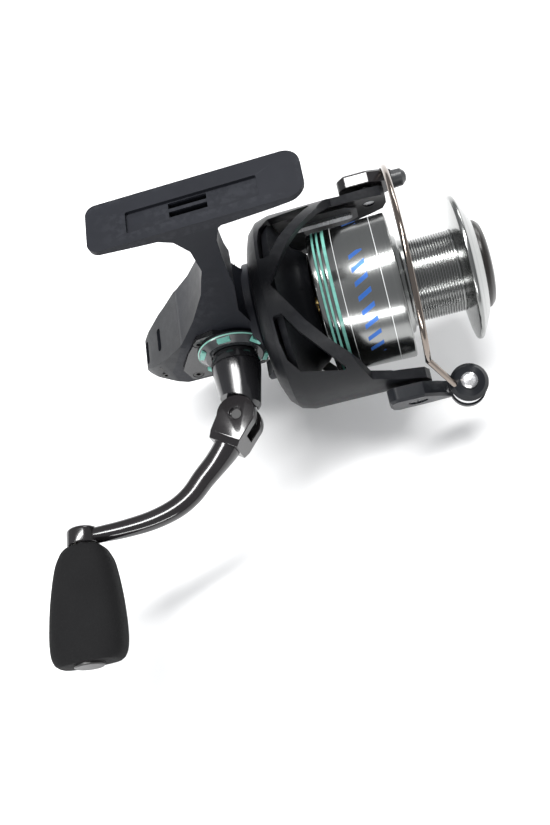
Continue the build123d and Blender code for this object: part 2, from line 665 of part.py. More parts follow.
# ================= bail =================
LEVER_INNER = 35.7
LEVER_OUTER = 40.6
DISC_FROM = -6.8
DISC_TO = -3.8
with BuildPart() as bail_arm:
    with BuildSketch(ARM_FACE.offset(LEVER_INNER)):
        with BuildLine():
            Polyline((46.2, 5.4), (48.6, 8.0), (58.0, 7.6), (63.0, 2.6), (67.6, DISC_TO), (74.0, DISC_TO),
                     (74.0, DISC_FROM), (66.0, -7.0), (58.0, -8.0), (48.6, -8.0), (46.2, -5.4), close=True)
        lever_view = make_face()
        fillet(lever_view.vertices().group_by(Axis.X)[:2], 2.6)
    extrude(amount=LEVER_OUTER - LEVER_INNER)
    chamfer(bail_arm.faces().sort_by(Axis((0, 0, 0), -FAR_ARM))[-1].edges(), 0.9)
    with BuildSketch(ARM_PLAN.offset(DISC_FROM)):
        with Locations((ROLLER_X, -ROLLER_OUT)):
            Circle(6.0)
    extrude(amount=DISC_TO - DISC_FROM)
    with BuildSketch(ARM_PLAN.offset(DISC_TO)):
        with Locations((ROLLER_X, -ROLLER_OUT)):
            Circle(6.4)
    extrude(amount=16, mode=Mode.SUBTRACT)
    with BuildSketch(ARM_PLAN.offset(DISC_FROM - 1)):
        with Locations((ROLLER_X, -ROLLER_OUT)):
            Circle(1.5)
    extrude(amount=6, mode=Mode.SUBTRACT)
    with BuildSketch(ARM_FACE.offset(LEVER_INNER - 1)):
        with Locations((PIVOT_X, 0)):
            Circle(4.4)
    extrude(amount=3.4, mode=Mode.SUBTRACT)
    with BuildSketch(ARM_FACE.offset(LEVER_INNER)):
        with Locations((PIVOT_X, 0)):
            Circle(2.0)
    extrude(amount=8, mode=Mode.SUBTRACT)
    with BuildSketch(ARM_FACE.offset(38.9)):
        with Locations((PIVOT_X, 0)):
            Circle(3.3)
    extrude(amount=4, mode=Mode.SUBTRACT)
save(bail_arm, "bail_arm")

HOLDER_END = 65.6
with BuildPart() as bail_holder:
    with BuildSketch(ARM_FACE.offset(-LEVER_OUTER)):
        with BuildLine():
            Polyline((46.2, 5.0), (48.6, 7.6), (57.0, 7.4), (HOLDER_END, 4.4), (HOLDER_END, -3.0), (57.0, -7.4),
                     (48.6, -7.6), (46.2, -5.0), close=True)
        holder_view = make_face()
        fillet(holder_view.vertices(), 2.2)
    extrude(amount=LEVER_OUTER - LEVER_INNER)
    chamfer(bail_holder.faces().sort_by(Axis((0, 0, 0), FAR_ARM))[-1].edges(), 0.9)
    with BuildSketch(ARM_FACE.offset(-LEVER_OUTER - 1)):
        with Locations((PIVOT_X, 0)):
            Circle(2.0)
    extrude(amount=8, mode=Mode.SUBTRACT)
    with BuildSketch(ARM_FACE.offset(-38.9)):
        with Locations((PIVOT_X, 0)):
            Circle(3.3)
    extrude(amount=-4, mode=Mode.SUBTRACT)
save(bail_holder, "bail_holder")

# the wire: most of an ellipse round the spool, then a straight run to the roller cover
WIRE_START = 7
WIRE_STOP = 133
wire_points = []
for degree in range(WIRE_START, WIRE_STOP + 1, 14):
    turn = radians(degree)
    lean = WIRE_X - 1.6 * sin(turn / 2) ** 4
    wire_points.append(on_arms(lean, WIRE_SPAN * cos(turn), WIRE_SWEEP * sin(turn)))
LUG_X, LUG_ALONG, LUG_OUT = 68.4, -39.6, 6.2
KINK = on_arms(61.2, -31.6, 17.0)
LUG_POINT = on_arms(LUG_X, LUG_ALONG, LUG_OUT)


def wire_parts():
    """Bail wire: a swept curve, a ball at its bend, and the straight run."""
    with BuildPart() as wire:
        with BuildLine() as curve:
            Spline(*wire_points, KINK)
        with BuildSketch(Plane(origin=curve.line @ 0, z_dir=curve.line % 0)):
            Circle(WIRE_RADIUS)
        sweep(path=curve.line)
        with Locations(KINK):
            Sphere(WIRE_RADIUS)
        with BuildSketch(Plane(origin=KINK, z_dir=LUG_POINT - KINK)):
            Circle(WIRE_RADIUS - 0.001)
        extrude(amount=(LUG_POINT - KINK).length)
    return wire


ROLLER_AXIS = Axis(on_arms(ROLLER_X, -ROLLER_OUT, 0), SIDEWAYS)
ROLLER_SIDE = Plane(origin=on_arms(ROLLER_X, -ROLLER_OUT, 0), x_dir=SIDEWAYS, z_dir=-FAR_ARM)
save(turned([(-3.5, 2.6), (3.3, 2.6), (3.3, 5.2), (2.6, 5.4), (1.4, 4.4), (-1.6, 4.4), (-2.8, 5.4), (-3.5, 5.2)],
            ROLLER_SIDE, ROLLER_AXIS), "line_roller")
save(ring(-3.8, 3.7, 1.5, 2.52, ROLLER_SIDE, ROLLER_AXIS), "roller_bush")
with BuildPart() as roller_cover:
    with BuildSketch(ROLLER_SIDE):
        with BuildLine():
            Polyline((3.7, 1.5), (3.7, 5.4), (4.2, 6.1), (5.6, 6.2), (7.2, 5.0), (8.2, 3.0), (8.2, 1.5), close=True)
        make_face()
    revolve(axis=ROLLER_AXIS)
    with BuildSketch(Plane(origin=LUG_POINT, z_dir=on_arms(ROLLER_X, -ROLLER_OUT, 5.6) - LUG_POINT)):
        Circle(1.7)
    extrude(amount=1.6)
save(roller_cover, "roller_cover")
with BuildPart() as roller_screw:
    with BuildSketch(ROLLER_SIDE):
        with BuildLine():
            Polyline((DISC_FROM, 0), (DISC_FROM, 1.48), (8.2, 1.48), (8.2, 2.7), (8.9, 2.6), (9.3, 1.9), (9.4, 0),
                     close=True)
        make_face()
    revolve(axis=ROLLER_AXIS)
save(roller_screw, "roller_screw")

with BuildPart() as bail_wire:
    add(wire_parts().part)
    add(bail_holder.part, mode=Mode.SUBTRACT)
    add(roller_cover.part, mode=Mode.SUBTRACT)
save(bail_wire, "bail_wire")
with BuildPart() as wire_end_cap:
    with BuildSketch(ARM_PLAN.offset(1.2)):
        with BuildLine():
            Polyline((HOLDER_END - 1.0, 37.2), (HOLDER_END - 1.0, 40.4), (68.4, 40.2), (69.8, 38.8), (70.2, 37.2),
                     close=True)
        make_face()
    revolve(axis=Axis(on_arms(0, 37.2, 1.2), (1, 0, 0)))
    add(bail_holder.part, mode=Mode.SUBTRACT)
    add(bail_wire.part, mode=Mode.SUBTRACT)
save(wire_end_cap, "wire_end_cap")

# ================= crank =================
with BuildPart() as handle_shank:
    with BuildSketch(HANDLE_SIDE):
        with BuildLine():
            Polyline((15.1, DRIVE_BORE), (15.1, 7.6), (17.4, 7.6), (17.4, 8.3), (18.9, 8.3), (18.9, 7.9),
                     (19.5, 7.9), (19.5, 8.3), (20.5, 8.2), (34.0, 6.2), (35.4, 5.0), (35.4, 0), (25.0, 0),
                     (25.0, DRIVE_BORE), close=True)
        make_face()
    revolve(axis=HANDLE_AXIS)
    with BuildSketch(CRANK_LEVEL.offset(-9)):
        with Locations((FOLD_X, -FOLD_OUT)):
            Circle(KNUCKLE + GAP)
        # relief for the arm's inner side when it is folded
        with BuildLine():
            Polyline((0, -31.5), (-12.0, -28.7), (-12.0, -42.0), (0, -42.0), close=True)
        make_face()
    extrude(amount=18, mode=Mode.SUBTRACT)
    with BuildSketch(CRANK_LEVEL.offset(-TONGUE)):
        with BuildLine():
            Polyline((-4.0, -29.0), (4.0, -29.0), (FOLD_X + 4.4, -FOLD_OUT), (FOLD_X - 4.4, -FOLD_OUT),
                     close=True)
        make_face()
        with Locations((FOLD_X, -FOLD_OUT)):
            Circle(4.4)
    extrude(amount=2 * TONGUE)
    with BuildSketch(CRANK_LEVEL.offset(-9)):
        with Locations((FOLD_X, -FOLD_OUT)):
            Circle(PIN_RADIUS + RUNNING)
    extrude(amount=18, mode=Mode.SUBTRACT)
save(handle_shank, "handle_shank")

with BuildPart() as handle_bolt:
    with BuildSketch(HANDLE_FACE.offset(-17.5)):
        Circle(DRIVE_BORE - RUNNING)
    extrude(amount=41.5)
save(handle_bolt, "handle_bolt")

RIBS = 30
with BuildPart() as screw_cap:
    with BuildSketch(HANDLE_SIDE):
        with BuildLine():
            Polyline((-15.3, 0), (-15.3, 6.0), (-15.6, 6.4), (-16.3, 6.4), (-16.3, 5.6), (-20.2, 5.6),
                     (-21.1, 4.8), (-21.4, 3.2), (-21.4, 0), close=True)
        make_face()
    revolve(axis=HANDLE_AXIS)
    with BuildSketch(HANDLE_FACE.offset(-20.2)):
        with BuildLine():
            Polyline(*gear_outline(RIBS, 5.55, 5.95, 0.6, 0.4), close=True)
        make_face()
    extrude(amount=3.9)
    with BuildSketch(HANDLE_FACE.offset(-17.5)):
        Circle(DRIVE_BORE)
    extrude(amount=3.0, mode=Mode.SUBTRACT)
save(screw_cap, "screw_cap")

with BuildPart() as fold_pin:
    with BuildSketch(CRANK_LEVEL.offset(-5.0)):
        with Locations((FOLD_X, -FOLD_OUT)):
            Circle(PIN_RADIUS)
    extrude(amount=10.0)
save(fold_pin, "fold_pin")

# arm: a strip that follows (x, out) stations with a half width at each
ARM_LINE = [(-3.4, 43.0, 4.2), (-8.0, 48.5, 4.2), (-14.9, 54.2, 4.0), (-20.8, 60.1, 3.9), (-25.7, 63.0, 3.7),
            (-33.4, 65.2, 3.5), (-44.0, 65.8, 3.3), (-50.0, 65.8, 2.9), (-57.7, 65.6, 2.4)]


def strip_outline(line):
    """The two sides of a strip, each station set square to the run through it."""
    near_side, far_side = [], []
    for i, (x, out, half) in enumerate(line):
        before = line[max(i - 1, 0)]
        after = line[min(i + 1, len(line) - 1)]
        run_x, run_out = after[0] - before[0], after[1] - before[1]
        length = (run_x ** 2 + run_out ** 2) ** 0.5
        step_x, step_out = -run_out / length * half, run_x / length * half
        near_side.append((x + step_x, -(out + step_out)))
        far_side.append((x - step_x, -(out - step_out)))
    return near_side + far_side[::-1]


# along the arm's first run, for the knuckle's taper
FIRST_RUN = Vector(-0.56, -0.83, 0).normalized()
FOLD_POINT = HUB + Vector(FOLD_X, -FOLD_OUT, 0)
TAPER_PLANE = Plane(origin=FOLD_POINT, x_dir=FIRST_RUN, z_dir=FIRST_RUN.cross(Vector(0, 0, 1)))
with BuildPart() as knuckle:
    with BuildSketch(CRANK_LEVEL.offset(-6)):
        with BuildLine():
            Polyline((FOLD_X + 5.3, -FOLD_OUT - 3.4), (FOLD_X - 6.2, -FOLD_OUT + 1.0), (-12.0, -45.4),
                     (-17.0, -50.5), (-11.0, -57.0), (-5.0, -52.4), close=True)
        make_face()
        with Locations((FOLD_X, -FOLD_OUT)):
            Circle(KNUCKLE)
    extrude(amount=12)
    with BuildSketch(TAPER_PLANE.offset(-12)):
        with BuildLine():
            Polyline((-8, -6), (8.0, -6), (13.6, -ARM_THICK), (13.6, ARM_THICK), (8.0, 6), (-8, 6), close=True)
        make_face()
    extrude(amount=24, mode=Mode.INTERSECT)
with BuildPart() as handle_arm:
    with BuildSketch(CRANK_LEVEL.offset(-ARM_THICK)):
        with BuildLine():
            Polyline(*strip_outline(ARM_LINE), close=True)
        make_face()
    extrude(amount=2 * ARM_THICK)
    add(knuckle.part)
    with BuildSketch(HANDLE_FACE.offset(62.6)):
        with Locations((-CRANK_RADIUS, 0)):
            Circle(5.3)
    extrude(amount=6.0)
    # slot for the shank's tongue, open over the whole fold
    with BuildSketch(CRANK_LEVEL.offset(-TONGUE - GAP)):
        with Locations((FOLD_X, -FOLD_OUT)):
            Circle(KNUCKLE + 1.3)
    extrude(amount=2 * (TONGUE + GAP), mode=Mode.SUBTRACT)
    with BuildSketch(CRANK_LEVEL.offset(-5.0)):
        with Locations((FOLD_X, -FOLD_OUT)):
            Circle(PIN_RADIUS)
    extrude(amount=12, mode=Mode.SUBTRACT)
    with BuildSketch(CRANK_LEVEL.offset(5.0)):
        with Locations((FOLD_X, -FOLD_OUT)):
            Circle(PIN_RADIUS + 0.5)
    extrude(amount=2, mode=Mode.SUBTRACT)
    with BuildSketch(HANDLE_FACE.offset(61)):
        with Locations((-CRANK_RADIUS, 0)):
            Circle(POST_RADIUS)
    extrude(amount=10, mode=Mode.SUBTRACT)
save(handle_arm, "handle_arm")

KNOB_AXIS = Axis(HUB + Vector(-CRANK_RADIUS, 0, 0), (0, -1, 0))
KNOB_SIDE = Plane(origin=HUB + Vector(-CRANK_RADIUS, 0, 0), x_dir=(0, -1, 0), z_dir=(-1, 0, 0))
save(turned([(62.6, 0), (62.6, POST_RADIUS), (104.0, POST_RADIUS), (104.0, 0)], KNOB_SIDE, KNOB_AXIS),
     "knob_post")
with BuildPart() as knob_bushes:
    for bush_out in (70.0, 95.0):
        with BuildSketch(KNOB_SIDE):
            with BuildLine():
                Polyline((bush_out, POST_RADIUS + RUNNING), (bush_out + 3, POST_RADIUS + RUNNING),
                         (bush_out + 3, 4.4), (bush_out, 4.4), close=True)
            make_face()
        revolve(axis=KNOB_AXIS)
save(knob_bushes, "knob_bushes")
# station out from the shaft, size along X, size along Z
KNOB_STATIONS = [(KNOB_START, 11.0, 11.0), (71.5, 15.5, 13.0), (76.0, 19.0, 14.0), (86.0, 22.4, 15.0),
                 (97.0, 23.8, 15.0), (103.0, 22.6, 14.0), (KNOB_END, 19.0, 11.0)]
with BuildPart() as knob_grip:
    for station, wide, tall in KNOB_STATIONS:
        with BuildSketch(HANDLE_FACE.offset(station)):
            with Locations((-CRANK_RADIUS + 0.3, 0)):
                RectangleRounded(wide, tall, min(wide, tall) / 2 - 0.4)
    loft(ruled=True)
    with BuildSketch(HANDLE_FACE.offset(KNOB_START - 1)):
        with Locations((-CRANK_RADIUS, 0)):
            Circle(4.4)
    extrude(amount=KNOB_END - KNOB_START + 0.2, mode=Mode.SUBTRACT)
    with BuildSketch(HANDLE_FACE.offset(KNOB_END - 0.8)):
        with Locations((-CRANK_RADIUS, 0)):
            Circle(4.65)
    extrude(amount=2, mode=Mode.SUBTRACT)
save(knob_grip, "knob_grip")
save(turned([(104.8, 0), (104.8, 4.6), (105.9, 4.6), (106.2, 4.2), (106.2, 0)], KNOB_SIDE, KNOB_AXIS),
     "knob_cap")

# ================= spool =================
GROOVES = 20
GROOVE_START = 63.5
GROOVE_PITCH = (DRUM_FRONT - 0.5 - GROOVE_START) / GROOVES
drum_line = []
for groove in range(GROOVES):
    start = GROOVE_START + groove * GROOVE_PITCH
    drum_line += [(start, DRUM_RADIUS), (start + 0.2, DRUM_RADIUS - 0.3), (start + 0.45, DRUM_RADIUS - 0.3),
                  (start + 0.65, DRUM_RADIUS)]
POCKET_RADIUS = 12.2
POCKET_BACK = 66.0
BANDS = [(34.0, 34.7), (35.6, 36.3), (37.4, 38.4)]
BAND_IN, BAND_OUT = 24.0, 24.42
skirt_line = []
for band_from, band_to in BANDS:
    edge = SKIRT_RADIUS - 0.6
    skirt_line += [(band_from, edge), (band_from, BAND_IN), (band_to, BAND_IN), (band_to, edge)]
spool = turned([(SKIRT_BACK, 23.2), (SKIRT_BACK, 24.1), (SKIRT_BACK + 0.3, 24.3)] + skirt_line
               + [(SKIRT_FRONT, SKIRT_RADIUS), (58.6, SKIRT_RADIUS), (59.2, 24.3), (59.4, 17.2), (60.6, 16.6),
                  (61.2, 15.0), (62.4, 14.6), (63.0, DRUM_RADIUS)] + drum_line
               + [(DRUM_FRONT, DRUM_RADIUS), (DRUM_FRONT, POCKET_RADIUS), (POCKET_BACK, POCKET_RADIUS),
                  (POCKET_BACK, 2.9), (56.2, 2.9), (56.2, 6.5), (57.0, 6.8), (64.0, 7.2), (64.0, 11.8),
                  (59.8, 12.4), (57.2, 16.0), (57.0, 22.4), (56.0, 23.3),
                  (34.0, 23.4)])
save(spool, "spool")
save(turned([(DRUM_FRONT, 12.6), (DRUM_FRONT, DRUM_RADIUS), (79.0, 15.2), (79.6, 20.0), (80.2, FLANGE_RADIUS - 0.4),
             (80.6, FLANGE_RADIUS), (81.5, FLANGE_RADIUS), (81.9, FLANGE_RADIUS - 0.4), (83.2, 21.4),
             (85.3, 17.0), (85.6, 15.9), (85.6, 15.35), (80.4, 15.35), (80.4, 12.6)]), "spool_rim")
with BuildPart() as skirt_rings:
    for band_from, band_to in BANDS:
        with BuildSketch(SIDE):
            with BuildLine():
                Polyline((band_from, BAND_IN), (band_to, BAND_IN), (band_to, BAND_OUT), (band_from, BAND_OUT),
                         close=True)
            make_face()
        revolve(axis=SHAFT_AXIS)
save(skirt_rings, "skirt_rings")
save(ring(56.2, POCKET_BACK, SHAFT_RADIUS + RUNNING, 2.9), "spool_bush")

with BuildPart() as click_gear:
    with BuildSketch(ACROSS.offset(50.0)):
        with BuildLine():
            Polyline(*gear_outline(24, 4.9, 5.6, 0.7, 0.2), close=True)
        make_face()
        Circle(SHAFT_RADIUS, mode=Mode.SUBTRACT)
    extrude(amount=2.4)
save(click_gear, "click_gear")
with BuildPart() as click_pawl:
    with BuildSketch(ACROSS.offset(50.4)):
        with Locations((0, 8.2)):
            SlotOverall(4.4, 2.0, rotation=90)
    extrude(amount=1.6)
    with BuildSketch(ACROSS.offset(52.0)):
        with Locations((0, 9.2)):
            Circle(1.0)
    extrude(amount=5.0)
save(click_pawl, "click_pawl")

# ================= drag =================
FELT, METAL, SLIP = 1.2, 0.8, 0.05
felt_spans, metal_spans = [], []
station = POCKET_BACK
for layer in range(3):
    felt_spans.append((station, station + FELT))
    metal_spans.append((station + FELT + SLIP, station + FELT + SLIP + METAL))
    station += FELT + METAL + 2 * SLIP


def washers(spans, r_in, r_out):
    """Flat rings at stations along the main shaft, as one node."""
    with BuildPart() as stack:
        for x_from, x_to in spans:
            with BuildSketch(ACROSS.offset(x_from)):
                Circle(r_out)
                Circle(r_in, mode=Mode.SUBTRACT)
            extrude(amount=x_to - x_from)
    return stack


save(washers(felt_spans, 2.6, POCKET_RADIUS - 0.1), "felt_washers")
save(washers(metal_spans, SHAFT_RADIUS, POCKET_RADIUS - 0.7), "metal_washers")
with BuildPart() as washer_retainer:
    with BuildSketch(ACROSS.offset(72.8)):
        Circle(POCKET_RADIUS)
        Circle(POCKET_RADIUS - 0.8, mode=Mode.SUBTRACT)
        with Locations((0, -POCKET_RADIUS)):
            Rectangle(3.0, 3.0, mode=Mode.SUBTRACT)
    extrude(amount=0.7)
save(washer_retainer, "washer_retainer")
save(ring(72.5, 73.9, 4.8, 7.4), "drag_spring")
with BuildPart() as drag_knob:
    with BuildSketch(SIDE):
        with BuildLine():
            Polyline((74.0, 2.0), (74.0, 8.0), (82.6, 8.0), (82.6, 13.6), (81.0, 13.6), (81.0, 15.0),
                     (85.8, 15.0), (86.5, 14.0), (88.3, 11.0), (89.0, 6.0), (NOSE_X, 0), (85.4, 0),
                     (85.4, 2.0), close=True)
        make_face()
    revolve(axis=SHAFT_AXIS)
    with BuildSketch(ACROSS.offset(73.0)):
        RegularPolygon(4.4, 6)
    extrude(amount=6.0, mode=Mode.SUBTRACT)
save(drag_knob, "drag_knob")
with BuildPart() as drag_nut:
    with BuildSketch(ACROSS.offset(76.0)):
        RegularPolygon(4.4, 6)
        Circle(SHAFT_RADIUS + RUNNING, mode=Mode.SUBTRACT)
    extrude(amount=3.0)
save(drag_nut, "drag_nut")
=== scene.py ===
import json
from math import cos, pi, radians, sin

import bmesh
import bpy
import numpy as np
from mathutils import Matrix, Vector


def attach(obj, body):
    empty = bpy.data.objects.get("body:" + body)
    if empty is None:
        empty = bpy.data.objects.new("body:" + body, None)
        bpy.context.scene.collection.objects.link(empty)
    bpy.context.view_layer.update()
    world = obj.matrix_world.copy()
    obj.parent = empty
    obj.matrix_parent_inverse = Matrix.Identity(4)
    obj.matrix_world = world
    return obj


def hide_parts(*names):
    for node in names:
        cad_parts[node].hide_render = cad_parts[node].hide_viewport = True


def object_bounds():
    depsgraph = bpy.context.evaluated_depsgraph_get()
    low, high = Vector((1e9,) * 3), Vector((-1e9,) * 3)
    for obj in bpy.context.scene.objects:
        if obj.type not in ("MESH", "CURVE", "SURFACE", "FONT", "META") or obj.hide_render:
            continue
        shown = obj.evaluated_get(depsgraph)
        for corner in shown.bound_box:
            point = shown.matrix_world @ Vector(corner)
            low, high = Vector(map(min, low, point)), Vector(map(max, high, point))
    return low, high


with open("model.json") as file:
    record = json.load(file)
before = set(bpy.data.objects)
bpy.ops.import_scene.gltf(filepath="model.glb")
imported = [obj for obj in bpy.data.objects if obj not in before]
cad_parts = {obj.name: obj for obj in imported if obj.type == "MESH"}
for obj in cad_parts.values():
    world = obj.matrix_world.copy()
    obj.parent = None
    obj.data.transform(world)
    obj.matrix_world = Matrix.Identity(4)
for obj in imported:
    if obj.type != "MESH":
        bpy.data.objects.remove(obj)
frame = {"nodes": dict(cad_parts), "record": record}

cad_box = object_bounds()
MM = 0.001

# ---- places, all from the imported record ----
JOINTS = {joint["name"]: joint for joint in frame["record"]["behaviour"]["joints"]}
HUB = np.array(JOINTS["crank_turn"]["pos_m"])          # crank axis at the shaft's plane
HEART = np.array(JOINTS["rotor_turn"]["pos_m"])        # main shaft under the crank axis
FOLD = np.array(JOINTS["handle_fold"]["pos_m"])
KNOB = np.array(JOINTS["knob_turn"]["pos_m"])
ALONG_SHAFT = np.array((1.0, 0.0, 0.0))
OUTWARDS = np.array((0.0, -1.0, 0.0))
UP = np.array((0.0, 0.0, 1.0))


# ---- shader writing ----
class Value:
    """A number in a shader. Arithmetic on it adds the Math nodes that work it out."""

    def __init__(self, finish, socket):
        self.finish = finish
        self.socket = socket

    def maths(self, operation, *others):
        sockets = {0: self, **dict(enumerate(others, 1))}
        return self.finish.node("ShaderNodeMath", {"operation": operation}, sockets)

    def __add__(self, other):
        return self.maths("ADD", other)

    __radd__ = __add__

    def __mul__(self, other):
        return self.maths("MULTIPLY", other)

    __rmul__ = __mul__

    def __sub__(self, other):
        return self.maths("SUBTRACT", other)

    def __rsub__(self, other):
        return self.finish.node("ShaderNodeMath", {"operation": "SUBTRACT"}, {0: other, 1: self})

    def __pow__(self, other):
        return self.maths("POWER", other)

    def step(self, low, high):
        """0 below low, 1 above high, smooth between them."""
        return self.finish.node(
            "ShaderNodeMapRange", {"interpolation_type": "SMOOTHSTEP"},
            {"Value": self, "From Min": low, "From Max": high})

    def band(self, low, high, soft):
        """1 between low and high, 0 outside, with soft edges."""
        return self.step(low - soft, low + soft) * (1.0 - self.step(high - soft, high + soft))


class Finish:
    """A material under construction."""

    def __init__(self, name):
        self.material = bpy.data.materials.new(name)
        self.material.use_nodes = True
        self.tree = self.material.node_tree
        self.shader = self.tree.nodes["Principled BSDF"]
        self.place = self.node("ShaderNodeTexCoord", output="Object")

    def node(self, kind, settings=None, sockets=None, output=0):
        """Adds a node: its settings first, then the values or links of its sockets."""
        new = self.tree.nodes.new(kind)
        for key, value in (settings or {}).items():
            setattr(new, key, value)
        for key, value in (sockets or {}).items():
            self.feed(new.inputs[key], value)
        return Value(self, new.outputs[output])

    def feed(self, socket, value):
        if isinstance(value, Value):
            self.tree.links.new(value.socket, socket)
        elif isinstance(value, tuple) and len(value) == 3 and socket.type == "RGBA":
            socket.default_value = (*value, 1.0)
        else:
            socket.default_value = value

    def noise(self, size, detail=3.0, roughness=0.5, stretch=(1.0, 1.0, 1.0), place=None):
        """Noise from 0 to 1 whose features are about size across; stretch lengthens them along an axis."""
        scaled = self.node("ShaderNodeVectorMath", {"operation": "MULTIPLY"},
                           {0: place or self.place, 1: tuple(1.0 / (size * part) for part in stretch)})
        return self.node("ShaderNodeTexNoise", {}, {"Vector": scaled, "Scale": 1.0, "Detail": detail,
                                                    "Roughness": roughness})

    def mix(self, factor, first, second):
        """A colour between first and second."""
        new = self.tree.nodes.new("ShaderNodeMix")
        new.data_type = "RGBA"
        self.feed(new.inputs["Factor"], factor)
        self.feed(new.inputs[6], first)
        self.feed(new.inputs[7], second)
        return Value(self, new.outputs[2])

    def split(self, origin):
        """The three coordinates measured from a point."""
        moved = self.node("ShaderNodeVectorMath", {"operation": "SUBTRACT"},
                          {0: self.place, 1: tuple(origin)})
        parts = self.tree.nodes.new("ShaderNodeSeparateXYZ")
        self.feed(parts.inputs[0], moved)
        return [Value(self, parts.outputs[axis]) for axis in "XYZ"]

    def radius(self, first, second):
        """Distance from an axis, from the two coordinates square to it."""
        return (first * first + second * second) ** 0.5

    def edges(self, low=0.52, high=0.62):
        """1 on convex edges, 0 on flat surfaces."""
        point = self.node("ShaderNodeNewGeometry", output="Pointiness")
        return point.step(low, high)

    def set(self, **sockets):
        names = {"colour": "Base Color", "rough": "Roughness", "metal": "Metallic", "coat": "Coat Weight",
                 "coat_rough": "Coat Roughness", "sheen": "Sheen Weight", "gloss": "Specular IOR Level",
                 "normal": "Normal"}
        for key, value in sockets.items():
            self.feed(self.shader.inputs[names[key]], value)
        return self.material

    def bump(self, height, depth, strength=1.0):
        return self.node("ShaderNodeBump", {}, {"Height": height, "Distance": depth, "Strength": strength})


def satin_coat(name, colour, rough=0.42, grain=0.35 * MM, depth=0.018 * MM, wear=0.25, coat=0.0, mottle=0.16):
    """A satin coat: fine orange peel, a slow drift in tone, and paler rubbed edges."""
    finish = Finish(name)
    drift = finish.noise(14 * MM, 3.0)
    peel = finish.noise(grain, 4.0, 0.55)
    dust = finish.noise(3 * MM, 5.0, 0.65)
    rub = finish.edges() * finish.noise(2.2 * MM, 4.0, 0.6).step(0.42, 0.62) * wear
    darker = tuple(part * (1 - mottle) for part in colour)
    lighter = tuple(part * (1 + mottle) for part in colour)
    tone = finish.mix(drift.step(0.3, 0.7), darker, lighter)
    rubbed = tuple(min(part * 3.0 + 0.04, 1.0) for part in colour)
    return finish.set(
        colour=finish.mix(rub, tone, rubbed),
        rough=(dust - 0.5) * 0.16 + (drift - 0.5) * 0.08 + rough,
        coat=coat, coat_rough=0.08, gloss=0.17, normal=finish.bump(peel, depth),
    )


def gloss_coat(name, colour, rough=0.12, ripple=0.02 * MM, wear=0.12):
    """A deep polished coat: slight ripple, faint swirl marks and a few dull patches."""
    finish = Finish(name)
    drift = finish.noise(9 * MM, 2.0)
    swirl = finish.noise(0.5 * MM, 3.0, 0.5, (6.0, 1.0, 1.0))
    flow = finish.noise(3.5 * MM, 2.0, 0.4)
    rub = finish.edges() * finish.noise(1.6 * MM, 4.0).step(0.5, 0.66) * wear
    lighter = tuple(min(part * 1.5 + 0.004, 1.0) for part in colour)
    rubbed = tuple(min(part * 2.0 + 0.08, 1.0) for part in colour)
    return finish.set(
        colour=finish.mix(rub, finish.mix(drift, colour, lighter), rubbed),
        rough=swirl * 0.06 + drift * 0.05 + rough, coat=0.3, coat_rough=0.04,
        normal=finish.bump(flow, ripple, 0.6),
    )


def turned_metal(name, colour, rough=0.22, origin=HEART, axis=0, pitch=0.22 * MM, line=0.004 * MM, tint=0.12):
    """Lathe-turned metal: fine rings round an axis, with uneven depth, and soft stains."""
    finish = Finish(name)
    parts = finish.split(origin)
    along = parts[axis]
    others = [part for place, part in enumerate(parts) if place != axis]
    spread = finish.radius(*others)
    ring_place = finish.node("ShaderNodeCombineXYZ", {}, {"X": along, "Y": spread * 0.6, "Z": 0.0})
    rings = finish.noise(pitch, 2.0, 0.6, place=ring_place)
    coarse = finish.noise(pitch * 7, 2.0, 0.6, place=ring_place)
    stain = finish.noise(11 * MM, 4.0, 0.6)
    darker = tuple(part * (1 - tint) for part in colour)
    lighter = tuple(min(part * (1 + tint), 1.0) for part in colour)
    return finish.set(
        colour=finish.mix(rings * 0.5 + coarse * 0.3 + stain * 0.2, darker, lighter), metal=1.0,
        rough=(rings - 0.5) * 0.14 + (stain - 0.5) * 0.1 + rough,
        normal=finish.bump(rings + coarse * 0.7, line),
    )


def moulded(name, colour, rough=0.5, grain=0.25 * MM, depth=0.02 * MM, mottle=0.12):
    """Moulded plastic: a fine even texture with slight flow marks."""
    finish = Finish(name)
    texture = finish.noise(grain, 3.0, 0.6)
    flow = finish.noise(6 * MM, 2.0, 0.5, (1.0, 1.0, 2.0))
    darker = tuple(part * (1 - mottle) for part in colour)
    lighter = tuple(part * (1 + mottle) + 0.003 for part in colour)
    return finish.set(
        colour=finish.mix(texture * 0.5 + flow * 0.5, darker, lighter),
        rough=(flow - 0.5) * 0.14 + (texture - 0.5) * 0.1 + rough, normal=finish.bump(texture, depth),
    )


def speckled_grip(name):
    """Soft black grip with a rough, pebbled skin and sparse paler specks."""
    finish = Finish(name)
    pebble = finish.noise(0.55 * MM, 5.0, 0.7)
    fine = finish.noise(0.2 * MM, 3.0, 0.6)
    speck = finish.noise(0.4 * MM, 4.0, 0.75).step(0.6, 0.72)
    drift = finish.noise(12 * MM, 3.0)
    base = finish.mix(drift, (0.006, 0.006, 0.0065), (0.010, 0.010, 0.0105))
    return finish.set(
        colour=finish.mix(speck * 0.4, base, (0.045, 0.045, 0.045)), rough=(pebble - 0.5) * 0.2 + 0.78,
        gloss=0.14, normal=finish.bump(pebble + fine * 0.5, 0.16 * MM, 0.9),
    )


